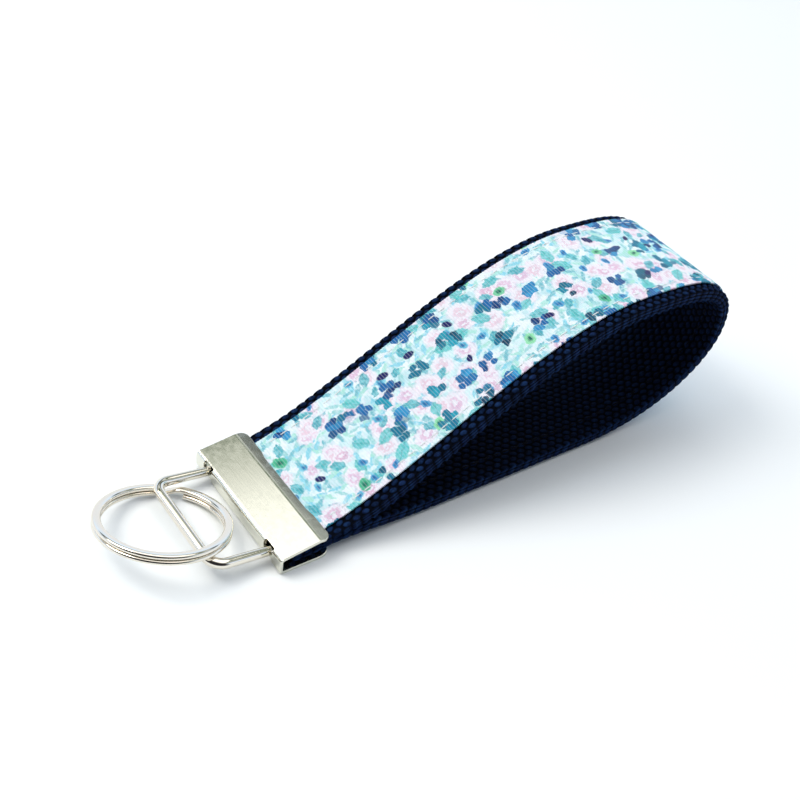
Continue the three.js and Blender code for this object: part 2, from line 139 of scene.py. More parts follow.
def strap_outline():
    """The strap's side line from the ply end in the top of the clamp, over the peak, round the nose
    and back along the floor: each place, and how far its handles before and after it reach. A
    stretch with no handles is straight."""
    ply_end = -CLAMP_LENGTH + SHEET + 2 * (PIN_CLEAR + WIRE / 2)
    crest = -GRIP_RUN - 1.5
    past_mouth = 0.3

    def between_plates(run):
        inside = SPINE_HALF - SHEET + (run + CLAMP_LENGTH) * math.tan(WEDGE)
        return inside - PLY_CLEAR - BACKING

    gripped = GRIP_HALF - PLY_CLEAR - BACKING
    held = (
        (ply_end, between_plates(ply_end)),
        (crest, between_plates(crest)),
        (-GRIP_RUN, gripped),
        (past_mouth, gripped),
    )
    top = [in_clamp(run, half) for run, half in held]
    bottom = [in_clamp(run, -half) for run, half in reversed(held)]
    tip = MOUTH_X + LOOP_LENGTH
    peak = Vector((tip - PEAK_FROM_NOSE, LOOP_HEIGHT - BACKING))
    nose = Vector((tip - BACKING, NOSE_HEIGHT))
    belly = Vector((tip - BELLY_FROM_NOSE, BACKING))
    belly_end = Vector((MOUTH_X + BELLY_END, BACKING))
    rise = Matrix.Rotation(RISE_ANGLE, 2) @ Vector((RISE_HANDLE, 0))
    settle = Matrix.Rotation(WEDGE, 2) @ Vector((EXIT_HANDLE, 0))
    return [
        *((place, None, None) for place in top[:3]),
        (top[3], None, rise),
        (peak, Vector((-PEAK_HANDLES[0], 0)), Vector((PEAK_HANDLES[1], 0))),
        (nose, Vector((0, NOSE_HANDLES[0])), Vector((0, -NOSE_HANDLES[1]))),
        (belly, Vector((BELLY_HANDLES[0], 0)), None),
        (belly_end, None, Vector((-BELLY_HANDLES[1], 0))),
        (bottom[0], settle, None),
        *((place, None, None) for place in bottom[1:]),
    ]


def clear():
    bpy.ops.object.select_all(action="DESELECT")


def take(*pieces):
    clear()
    for piece in pieces:
        piece.select_set(True)
    bpy.context.view_layer.objects.active = pieces[0]
    return pieces[0]


def into_edit(piece, select="DESELECT"):
    take(piece)
    bpy.ops.object.mode_set(mode="EDIT")
    bpy.ops.mesh.select_mode(type="FACE")
    bpy.ops.mesh.select_all(action=select)


def out_of_edit():
    bpy.ops.object.mode_set(mode="OBJECT")


def fix_place(piece):
    take(piece)
    bpy.ops.object.transform_apply(location=True, rotation=True, scale=True)


def fix_modifiers(piece):
    take(piece)
    for modifier in list(piece.modifiers):
        bpy.ops.object.modifier_apply(modifier=modifier.name)


def pick_faces(piece, test):
    mesh = bmesh.from_edit_mesh(piece.data)
    bpy.ops.mesh.select_mode(type="FACE")
    for face in mesh.faces:
        face.select_set(bool(test(face.calc_center_median(), face.normal)))
    bmesh.update_edit_mesh(piece.data)


def pick_edges(piece, test):
    mesh = bmesh.from_edit_mesh(piece.data)
    bpy.ops.mesh.select_mode(type="EDGE")
    for edge in mesh.edges:
        edge.select_set(False)
    for edge in mesh.edges:
        if test(*(v.co for v in edge.verts)):
            edge.select_set(True)
    bmesh.update_edit_mesh(piece.data)


def pick_points(piece, test):
    mesh = bmesh.from_edit_mesh(piece.data)
    bpy.ops.mesh.select_mode(type="VERT")
    for vert in mesh.verts:
        vert.select_set(bool(test(vert.co)))
    mesh.select_flush_mode()
    bmesh.update_edit_mesh(piece.data)


def named(name):
    piece = bpy.context.object
    piece.name = name
    piece.data.name = name
    return piece


# ---- strap line: every soft piece is made flat, then bent along it and tipped upright ----
def strap_line():
    bpy.ops.curve.primitive_bezier_curve_add(location=(0, 0, 0))
    line = named("strap_outline")
    line.data.dimensions = "2D"
    line.data.fill_mode = "NONE"
    line.data.resolution_u = 48
    spline = line.data.splines[0]
    outline = strap_outline()
    spline.bezier_points.add(len(outline) - len(spline.bezier_points))
    last = len(outline) - 1
    for i, (place, before, after) in enumerate(outline):
        point = spline.bezier_points[i]
        point.handle_left_type = "FREE"
        point.handle_right_type = "FREE"
        ahead = outline[min(i + 1, last)][0]
        behind = outline[max(i - 1, 0)][0]
        point.co = place.to_3d() * MM
        point.handle_left = (place + before if before else place.lerp(behind, 1 / 3)).to_3d() * MM
        point.handle_right = (place + after if after else place.lerp(ahead, 1 / 3)).to_3d() * MM
    return line, spline.calc_length() / MM


LINE, RUN = strap_line()
MOUTH_TOP = HELD_RUN
MOUTH_BOTTOM = RUN - HELD_RUN
MAP_SCALE = 0.01


def fan_out(piece, step, count):
    row = piece.modifiers.new("row along the strap", "ARRAY")
    row.use_relative_offset = False
    row.use_constant_offset = True
    row.constant_offset_displace = (step * MM, 0, 0)
    row.count = count
    fix_modifiers(piece)


def lay_flat_map(piece):
    """The map runs along the strap and across it, a hundredth to the millimetre."""
    layer = piece.data.uv_layers.active or piece.data.uv_layers.new(name="strap")
    layer.name = "strap"
    for loop in piece.data.loops:
        place = piece.data.vertices[loop.vertex_index].co
        layer.data[loop.index].uv = (place.x / MM * MAP_SCALE, place.z / MM * MAP_SCALE + 0.5)


def mark_rise_for_painted_shade(piece):
    """How far each point of the weave stands out of its ground, from 0 to 1: the webbing's finish
    paints shade by it, near black in the gaps between nubs and darker over the whole inner side.
    """
    rise = piece.data.attributes.new("rise", "FLOAT", "POINT")
    for point, mark in zip(piece.data.vertices, rise.data):
        y, z = point.co.y / MM, abs(point.co.z / MM)
        ground = (WEBBING_THICK - 0.7) / 2
        outer = (y + WEBBING_THICK / 2 - ground) / 0.46
        # painted shade: the inner side is held to at most 0.45, so the loop's inside is coloured
        # darker than its outside
        inner = min(0.45, (-WEBBING_THICK / 2 - ground - y) / 0.4)
        edge = (z - 15.05) / 0.25 if z > 14.95 else 0
        mark.value = min(1.0, max(0.0, outer, inner, edge))


def bend_along_strap(piece):
    bend = piece.modifiers.new("follow the strap line", "CURVE")
    bend.object = LINE
    bend.deform_axis = "POS_X"
    fix_modifiers(piece)
    piece.rotation_euler = (math.radians(90), 0, 0)
    fix_place(piece)


def crush_ends(piece):
    """The plies are pinched thin where the clamp holds them and swell to full thickness past it."""
    into_edit(piece)
    for edge, side in ((MOUTH_TOP, -1), (MOUTH_BOTTOM, 1)):
        pick_points(piece, lambda co: (co.x / MM - edge) * side > 0)
        bpy.ops.transform.resize(
            value=(1, 0.3, 1),
            center_override=(0, 0, 0),
            use_proportional_edit=True,
            proportional_edit_falloff="SMOOTH",
            proportional_size=11 * MM,
        )
    out_of_edit()


# ---- webbing ----
NUB_PITCH = RUN / round(RUN / 2.15)
NUB_COUNT = round(RUN / 2.15)


def webbing_core():
    """The ground of the weave, one nub long: a slab with rounded selvages, which the finish paints
    near black as shade.
    """
    bpy.ops.mesh.primitive_cube_add(
        size=1, location=(NUB_PITCH / 2 * MM, -WEBBING_THICK / 2 * MM, 0)
    )
    core = named("webbing_core")
    core.scale = (NUB_PITCH * MM, (WEBBING_THICK - 0.7) * MM, (WEBBING_WIDTH - 0.9) * MM)
    fix_place(core)
    into_edit(core)
    pick_edges(core, lambda a, b: abs(a.x - b.x) > MM and abs(a.z) > 10 * MM)
    bpy.ops.mesh.bevel(offset=0.7 * MM, segments=3, affect="EDGES")
    pick_faces(core, lambda c, n: abs(n.x) > 0.9)
    bpy.ops.mesh.delete(type="FACE")
    out_of_edit()
    return core


def nub(name, size, place, turn, sides=8, rings=4):
    """One float of yarn standing out of the weave."""
    bpy.ops.mesh.primitive_uv_sphere_add(segments=sides, ring_count=rings, radius=0.5)
    piece = named(name)
    piece.scale = [s * MM for s in size]
    piece.rotation_euler = turn
    piece.location = [p * MM for p in place]
    fix_place(piece)
    return piece


def join(*pieces):
    take(*pieces)
    bpy.ops.object.join()
    return bpy.context.object


def weld(piece, distance=0.01):
    into_edit(piece, "SELECT")
    bpy.ops.mesh.remove_doubles(threshold=distance * MM)
    out_of_edit()


def webbing():
    cell = [webbing_core()]
    inner_rows = 24
    pitch = (WEBBING_WIDTH - 1.6) / (inner_rows - 1)
    slant = math.radians(16)
    for row in range(inner_rows):
        z = -(WEBBING_WIDTH - 1.6) / 2 + row * pitch
        x = NUB_PITCH * (0.27 if row % 2 else 0.73)
        lean = slant if row % 2 else -slant
        cell.append(
            nub("inner_nub", (1.95, 0.8, 1.36), (x, -WEBBING_THICK + 0.38, z), (0, lean, 0), 6, 4)
        )
    for side in (-1, 1):
        for i, z in enumerate((12.1, 13.25, 14.4)):
            x = NUB_PITCH * (0.27 if i % 2 else 0.73)
            lean = slant if i % 2 else -slant
            cell.append(nub("outer_nub", (1.86, 1.0, 1.26), (x, -0.38, side * z), (0, lean, 0)))
        for y, z, width in ((-0.62, 15.0, 0.5), (-1.4, 15.08, 0.44), (-2.2, 15.0, 0.5)):
            place = (NUB_PITCH / 2, y, side * z)
            cell.append(nub("selvage_nub", (2.5, 0.8, width), place, (0, 0, 0)))
    strap = join(*cell)
    strap.name = "woven_webbing"
    fan_out(strap, NUB_PITCH, NUB_COUNT)
    weld(strap)
    into_edit(strap)
    pick_edges(
        strap,
        lambda a, b: max(a.x, b.x) < 0.001 * MM or min(a.x, b.x) > (RUN - 0.001) * MM,
    )
    bpy.ops.mesh.edge_face_add()
    out_of_edit()
    lay_flat_map(strap)
    mark_rise_for_painted_shade(strap)
    crush_ends(strap)
    bend_along_strap(strap)
    take(strap)
    bpy.ops.object.shade_smooth_by_angle(angle=math.radians(50))
    return strap


# ---- ribbon ----
RIB_PITCH = RUN / round(RUN / 0.62)
RIB_COUNT = round(RUN / 0.62)


def ribbon():
    """Grosgrain: one cross cord after another, each a flattened rod as wide as the ribbon."""
    middle = BACKING - RIBBON_THICK / 2
    bpy.ops.mesh.primitive_cylinder_add(
        vertices=10, radius=0.5, depth=RIBBON_WIDTH * MM, end_fill_type="NGON"
    )
    cord = named("printed_grosgrain_ribbon")
    cord.scale = (RIB_PITCH * 1.12 * MM, RIBBON_THICK * MM, 1)
    cord.location = (RIB_PITCH / 2 * MM, middle * MM, 0)
    fix_place(cord)
    into_edit(cord)
    pick_faces(cord, lambda c, n: abs(n.z) > 0.9)
    bpy.ops.mesh.inset(thickness=0.08 * MM, depth=0.06 * MM)
    out_of_edit()
    fan_out(cord, RIB_PITCH, RIB_COUNT)
    lay_flat_map(cord)
    bend_along_strap(cord)
    take(cord)
    bpy.ops.object.shade_smooth_by_angle(angle=math.radians(40))
    return cord


# ---- seams ----
def seam(name, side, depth, start, thick):
    """A row of single stitches along the strap, on one side of it."""
    count = int((RUN - 2 * start) / STITCH_PITCH)
    bpy.ops.mesh.primitive_uv_sphere_add(segments=8, ring_count=6, radius=0.5)
    stitch = named(name)
    stitch.scale = (STITCH_LENGTH * MM, thick * MM, STITCH_WIDTH * MM)
    stitch.location = ((start + STITCH_PITCH / 2) * MM, depth * MM, -side * SEAM_Y * MM)
    fix_place(stitch)
    fan_out(stitch, STITCH_PITCH, count)
    lay_flat_map(stitch)
    bend_along_strap(stitch)
    take(stitch)
    bpy.ops.object.shade_smooth()
    return stitch


# ---- clamp ----
def clamp():
    """One stamped sheet: a plate, run down the spine and back under, with its lips turned in."""
    half = CLAMP_WIDTH / 2
    bpy.ops.mesh.primitive_plane_add(size=1)
    sheet = named("end_clamp")
    sheet.scale = ((CLAMP_LENGTH - LIP_RUN) * MM, CLAMP_WIDTH * MM, 1)
    sheet.location = (-(CLAMP_LENGTH + LIP_RUN) / 2 * MM, 0, 0)
    fix_place(sheet)

    def move_edge(x_old, x_new, z_new, fresh=True):
        if fresh:
            bpy.ops.mesh.extrude_region_move()
        mesh = bmesh.from_edit_mesh(sheet.data)
        picked = [v for v in mesh.verts if v.select]
        centre = sum((v.co for v in picked), Vector()) / len(picked)
        step = Vector((x_new * MM - centre.x, 0, z_new * MM - centre.z))
        bpy.ops.transform.translate(value=step)

    into_edit(sheet)
    pick_edges(sheet, lambda a, b: max(a.x, b.x) < -10.9 * MM)
    move_edge(0, -CLAMP_LENGTH, SPINE_HALF, fresh=False)
    pick_edges(sheet, lambda a, b: min(a.x, b.x) > (-LIP_RUN - 0.1) * MM)
    move_edge(0, -LIP_RUN, MOUTH_HALF, fresh=False)
    pick_edges(sheet, lambda a, b: max(a.x, b.x) < -10.9 * MM)
    move_edge(0, -CLAMP_LENGTH, -SPINE_HALF)
    move_edge(0, -LIP_RUN, -MOUTH_HALF)
    move_edge(0, 0, -LIP_HALF)
    pick_edges(
        sheet,
        lambda a, b: abs(a.x - b.x) < 0.01 * MM
        and a.x > (-LIP_RUN - 0.1) * MM
        and a.z > (MOUTH_HALF - 0.05) * MM,
    )
    move_edge(0, 0, LIP_HALF)
    # folds
    pick_edges(sheet, lambda a, b: max(a.x, b.x) < -10.9 * MM and abs(a.y - b.y) > MM)
    bpy.ops.mesh.bevel(offset=0.95 * MM, segments=5, affect="EDGES")
    pick_edges(
        sheet,
        lambda a, b: abs(a.y - b.y) > MM and abs(abs(a.z) - MOUTH_HALF * MM) < 0.05 * MM,
    )
    bpy.ops.mesh.bevel(offset=0.35 * MM, segments=4, affect="EDGES")
    # lip corners
    pick_points(sheet, lambda co: abs(co.y) > (half - 0.01) * MM and co.x > -0.3 * MM)
    bpy.ops.mesh.bevel(offset=1.5 * MM, segments=5, affect="VERTICES")
    # cuts that bound the two arm slots and the teeth
    for y in (SLOT_INNER, SLOT_OUTER, -SLOT_INNER, -SLOT_OUTER):
        bpy.ops.mesh.select_all(action="SELECT")
        bpy.ops.mesh.bisect(plane_co=(0, y * MM, 0), plane_no=(0, 1, 0))
    bpy.ops.mesh.select_all(action="SELECT")
    slot_end = (-CLAMP_LENGTH + SLOT_WRAP) * MM
    bpy.ops.mesh.bisect(plane_co=(slot_end, 0, 0), plane_no=(1, 0, 0))
    pick_faces(
        sheet,
        lambda c, n: c.x < slot_end and SLOT_INNER * MM < abs(c.y) < SLOT_OUTER * MM,
    )
    bpy.ops.mesh.delete(type="FACE")
    teeth = 11
    for i in range(1, teeth):
        y = -half + i * CLAMP_WIDTH / teeth
        for edge in (y - 0.5, y + 0.5):
            pick_faces(sheet, lambda c, n: c.x > -1.6 * MM)
            bpy.ops.mesh.bisect(plane_co=(0, edge * MM, 0), plane_no=(0, 1, 0))
    tooth_gap = [-half + i * CLAMP_WIDTH / teeth for i in range(1, teeth)]

    def at_gap(a, b):
        middle = (a.y + b.y) / 2 / MM
        return (
            min(a.x, b.x) > -0.05 * MM
            and abs(a.y - b.y) > 0.4 * MM
            and any(abs(middle - gap) < 0.1 for gap in tooth_gap)
        )

    for side in (1, -1):
        pick_edges(sheet, lambda a, b: at_gap(a, b) and a.z * side > 0)
        bpy.ops.transform.translate(value=(-0.4 * MM, 0, side * 0.07 * MM))
    bpy.ops.mesh.select_all(action="SELECT")
    bpy.ops.mesh.normals_make_consistent(inside=False)
    out_of_edit()
    wall = sheet.modifiers.new("sheet metal", "SOLIDIFY")
    wall.thickness = SHEET * MM
    wall.offset = -1
    rim = sheet.modifiers.new("soft rims", "BEVEL")
    rim.width = 0.12 * MM
    rim.segments = 3
    rim.limit_method = "ANGLE"
    rim.angle_limit = math.radians(50)
    fix_modifiers(sheet)
    sheet.rotation_euler = (0, -WEDGE, 0)
    sheet.location = (MOUTH_X * MM, 0, CLAMP_LIFT * MM)
    fix_place(sheet)
    bpy.ops.object.shade_smooth_by_angle(angle=math.radians(35))
    even = sheet.modifiers.new("flat faces stay flat", "WEIGHTED_NORMAL")
    even.keep_sharp = True
    fix_modifiers(sheet)
    return sheet


# ---- wire loop ----
PIN_SHARE = 0.82
BEND_SHARE = 0.9


def round_wire(name, places):
    """A bent wire through its places, each with the handles before and after it and the share of
    the full thickness that the wire has there."""
    bpy.ops.curve.primitive_bezier_curve_add(location=(0, 0, 0))
    wire = named(name)
    wire.data.dimensions = "3D"
    wire.data.resolution_u = 16
    wire.data.bevel_depth = WIRE / 2 * MM
    wire.data.bevel_resolution = 6
    wire.data.use_fill_caps = True
    spline = wire.data.splines[0]
    spline.bezier_points.add(len(places) - len(spline.bezier_points))
    for point, (place, before, after, thick) in zip(spline.bezier_points, places):
        point.handle_left_type = "FREE"
        point.handle_right_type = "FREE"
        point.radius = thick
        point.co = place * MM
        point.handle_left = before * MM
        point.handle_right = after * MM
    take(wire)
    bpy.ops.object.convert(target="MESH")
    return bpy.context.object


def wire_loop():
    """The two pins, the bends out of the clamp, the arms and the far bar."""
    corner, turn, stub = 2.9, 1.4, 6.4
    kappa = 0.5523

    def at(u, y):
        return Vector((PIN.x - u * math.cos(LOOP_PITCH), y, PIN.z + u * math.sin(LOOP_PITCH)))

    def pin_end(y):
        end = at(0, y)
        return end, end + Vector((0, 1, 0)), end - Vector((0, 1, 0)), PIN_SHARE

    row = WIRE_ROW
    bends = [
        (at(0, -row + turn), at(0, -row), at(turn, -row), PIN_SHARE, BEND_SHARE),
        (at(REACH - corner, -row), at(REACH, -row), at(REACH, -row + corner), 1.0, 1.0),
        (at(REACH, row - corner), at(REACH, row), at(REACH - corner, row), 1.0, 1.0),
        (at(turn, row), at(0, row), at(0, row - turn), BEND_SHARE, PIN_SHARE),
    ]
    places = [pin_end(-stub)]
    last = places[0][0]
    for start, knee, end, share_in, share_out in bends:
        into = (start - last).normalized()
        onward = (end - knee).normalized()
        places.append((start, start - into, start.lerp(knee, kappa), share_in))
        places.append((end, end.lerp(knee, kappa), end + onward, share_out))
        last = end
    places.append(pin_end(stub))
    loop = round_wire("hinged_wire_loop", places)
    take(loop)
    bpy.ops.object.shade_smooth_by_angle(angle=math.radians(40))
    return loop


# ---- split ring ----
def split_ring():
    """A flat wire spun almost twice round, stepping up once between the coils."""
    rise = RING_COIL + RING_COIL_GAP
    mid_radius = (RING_DIAMETER - RING_BAND) / 2
    bpy.ops.mesh.primitive_plane_add(size=1, rotation=(math.radians(90), 0, 0))
    ring = named("split_ring")
    ring.scale = (RING_BAND * MM, RING_COIL * MM, 1)
    ring.location = (mid_radius * MM, 0, -rise / 2 * MM)
    fix_place(ring)
    into_edit(ring, "SELECT")
    bpy.ops.mesh.bevel(offset=0.46 * MM, segments=5, affect="VERTICES")
    bpy.ops.mesh.select_all(action="SELECT")

    def wind(degrees, steps):
        bpy.ops.mesh.spin(
            steps=steps, angle=math.radians(degrees), center=(0, 0, 0), axis=(0, 0, 1)
        )

    wind(338, 112)
    climb = 12
    for i in range(climb):
        wind(20 / climb, 1)
        share = math.sin(math.pi * (i + 0.5) / climb) * math.pi / (2 * climb)
        bpy.ops.transform.translate(value=(0, 0, rise * share * MM))
    wind(334, 112)
    bpy.ops.mesh.select_all(action="SELECT")
    bpy.ops.mesh.remove_doubles(threshold=0.001 * MM)
    bpy.ops.mesh.normals_make_consistent(inside=False)
    out_of_edit()
    centre, axes = ring_lie()
    lean = Matrix(axes).transposed().to_4x4()
    turn = Matrix.Rotation(math.radians(RING_START), 4, "Z")
    ring.matrix_world = Matrix.Translation(centre) @ lean @ turn
    fix_place(ring)
    bpy.ops.object.shade_smooth_by_angle(angle=math.radians(35))
    return ring


# ---- finishes ----
def tint(code, strength=1.0):
    """A colour given as a hex code, in the renderer's own linear values."""
    parts = [int(code[i : i + 2], 16) / 255 for i in (0, 2, 4)]
    linear = [p / 12.92 if p <= 0.04045 else ((p + 0.055) / 1.055) ** 2.4 for p in parts]
    return (*[v * strength for v in linear], 1.0)


def node(tree, kind, put=None, **settings):
    made = tree.nodes.new(kind)
    for name, value in settings.items():
        setattr(made, name, value)
    for name, value in (put or {}).items():
        socket = made.inputs[name]
        if isinstance(value, bpy.types.NodeSocket):
            tree.links.new(value, socket)
        else:
            socket.default_value = value
    return made


def sums(tree, operation, first, second=0.0, third=0.0, clamp=False):
    made = node(tree, "ShaderNodeMath", {0: first, 1: second, 2: third}, operation=operation)
    made.use_clamp = clamp
    return made.outputs[0]


def vectors(tree, operation, first, second=(0, 0, 0)):
    made = node(tree, "ShaderNodeVectorMath", {0: first, 1: second}, operation=operation)
    return made.outputs[0]


def scaled(tree, vector, factor):
    made = node(tree, "ShaderNodeVectorMath", {0: vector, "Scale": factor}, operation="SCALE")
    return made.outputs[0]


def ease(tree, value, low, high, start=0.0, end=1.0):
    put = {"Value": value, "From Min": low, "From Max": high, "To Min": start, "To Max": end}
    made = node(tree, "ShaderNodeMapRange", put, interpolation_type="SMOOTHSTEP")
    return made.outputs[0]


def paint(tree, mask, under, over, blend="MIX"):
    made = node(tree, "ShaderNodeMix", data_type="RGBA", blend_type=blend)
    for index, value in ((0, mask), (6, under), (7, over)):
        socket = made.inputs[index]
        if isinstance(value, bpy.types.NodeSocket):
            tree.links.new(value, socket)
        else:
            socket.default_value = value
    return made.outputs[2]


def speckle(tree, vector, scale, detail=2.0, rough=0.5, flat=False):
    put = {"Vector": vector, "Scale": scale, "Detail": detail, "Roughness": rough}
    dims = "2D" if flat else "3D"
    return node(tree, "ShaderNodeTexNoise", put, noise_dimensions=dims)


def new_group(name, inputs, outputs):
    group = bpy.data.node_groups.new(name, "ShaderNodeTree")
    for label, kind, value in inputs:
        socket = group.interface.new_socket(label, in_out="INPUT", socket_type=kind)
        if value is not None:
            socket.default_value = value
    for label, kind in outputs:
        group.interface.new_socket(label, in_out="OUTPUT", socket_type=kind)
    return group, group.nodes.new("NodeGroupInput"), group.nodes.new("NodeGroupOutput")


def motif_group():
    """Motifs scattered over flat cloth: one per cell, each with its own turn, size and tone."""
    number, vector = "NodeSocketFloat", "NodeSocketVector"
    group, into, out = new_group(
        "scattered motifs",
        [
            ("Place", vector, None),
            ("Shift", vector, (0, 0, 0)),
            ("Cell", number, 8.0),
            ("Length", number, 2.0),
            ("Width", number, 1.0),
            ("Point", number, 0.0),
            ("Fray", number, 0.3),
            ("Share", number, 1.0),
            ("Turn", number, 1.0),
            ("Soft", number, 0.12),
        ],
        [
            ("Mask", number),
            ("Along", number),
            ("Side", number),
            ("Reach", number),
            ("Tone", number),
            ("Tone two", number),
            ("Heart", vector),
        ],
    )
    g = into.outputs
    place = vectors(group, "ADD", g["Place"], g["Shift"])
    wander = speckle(group, place, 0.9, 2.0, 0.6, True).outputs["Color"]
    wander = vectors(group, "SUBTRACT", wander, (0.5, 0.5, 0.5))
    frayed = vectors(group, "ADD", place, scaled(group, wander, g["Fray"]))
    per_cell = sums(group, "DIVIDE", 1.0, g["Cell"])
    cell = node(
        group,
        "ShaderNodeTexVoronoi",
        {"Vector": scaled(group, frayed, per_cell), "Scale": 1.0, "Randomness": 0.8},
        voronoi_dimensions="2D",
    )
    local = vectors(group, "SUBTRACT", scaled(group, frayed, per_cell), cell.outputs["Position"])
    local = scaled(group, local, g["Cell"])
    random = node(group, "ShaderNodeSeparateColor", {"Color": cell.outputs["Color"]}).outputs
    angle = sums(group, "MULTIPLY", sums(group, "MULTIPLY", random[0], 6.283), g["Turn"])
    turned = node(
        group, "ShaderNodeVectorRotate", {"Vector": local, "Angle": angle}, rotation_type="Z_AXIS"
    )
    axes = node(group, "ShaderNodeSeparateXYZ", {"Vector": turned.outputs[0]}).outputs
    grow = sums(group, "MULTIPLY_ADD", random[2], 0.45, 0.75)
    along = sums(group, "DIVIDE", axes[0], sums(group, "MULTIPLY", g["Length"], grow))
    side = sums(group, "DIVIDE", axes[1], sums(group, "MULTIPLY", g["Width"], grow))
    square = sums(group, "MULTIPLY", along, along)
    oval = sums(group, "SQRT", sums(group, "ADD", square, sums(group, "MULTIPLY", side, side)))
    leaf = sums(group, "ADD", sums(group, "ABSOLUTE", side), square)
    reach = sums(
        group,
        "ADD",
        sums(group, "MULTIPLY", leaf, g["Point"]),
        sums(group, "MULTIPLY", oval, sums(group, "SUBTRACT", 1.0, g["Point"])),
    )
    inner = sums(group, "SUBTRACT", 1.0, g["Soft"])
    mask = ease(group, reach, 1.0, inner)
    wanted = sums(group, "LESS_THAN", random[1], g["Share"])
    tie = group.links.new
    tie(sums(group, "MULTIPLY", mask, wanted), out.inputs["Mask"])
    tie(along, out.inputs["Along"])
    tie(side, out.inputs["Side"])
    tie(reach, out.inputs["Reach"])
    tie(random[0], out.inputs["Tone"])
    tie(random[2], out.inputs["Tone two"])
    heart = scaled(group, cell.outputs["Position"], g["Cell"])
    heart = vectors(group, "SUBTRACT", heart, g["Shift"])
    tie(heart, out.inputs["Heart"])
    return group


MOTIF = motif_group()


def motif(tree, place, **values):
    made = node(tree, "ShaderNodeGroup", node_tree=MOTIF)
    tree.links.new(place, made.inputs["Place"])
    for name, value in values.items():
        made.inputs[name].default_value = value
    return made.outputs


def new_finish(name):
    finish = bpy.data.materials.new(name)
    finish.use_nodes = True
    tree = finish.node_tree
    tree.nodes.clear()
    shader = tree.nodes.new("ShaderNodeBsdfPrincipled")
    out = tree.nodes.new("ShaderNodeOutputMaterial")
    tree.links.new(shader.outputs[0], out.inputs["Surface"])
    return finish, tree, shader


def strap_place(tree):
    """Millimetres along the strap and across it, read from the piece's own map."""
    chart = node(tree, "ShaderNodeUVMap", uv_map="strap")
    return scaled(tree, chart.outputs[0], 1 / MAP_SCALE)


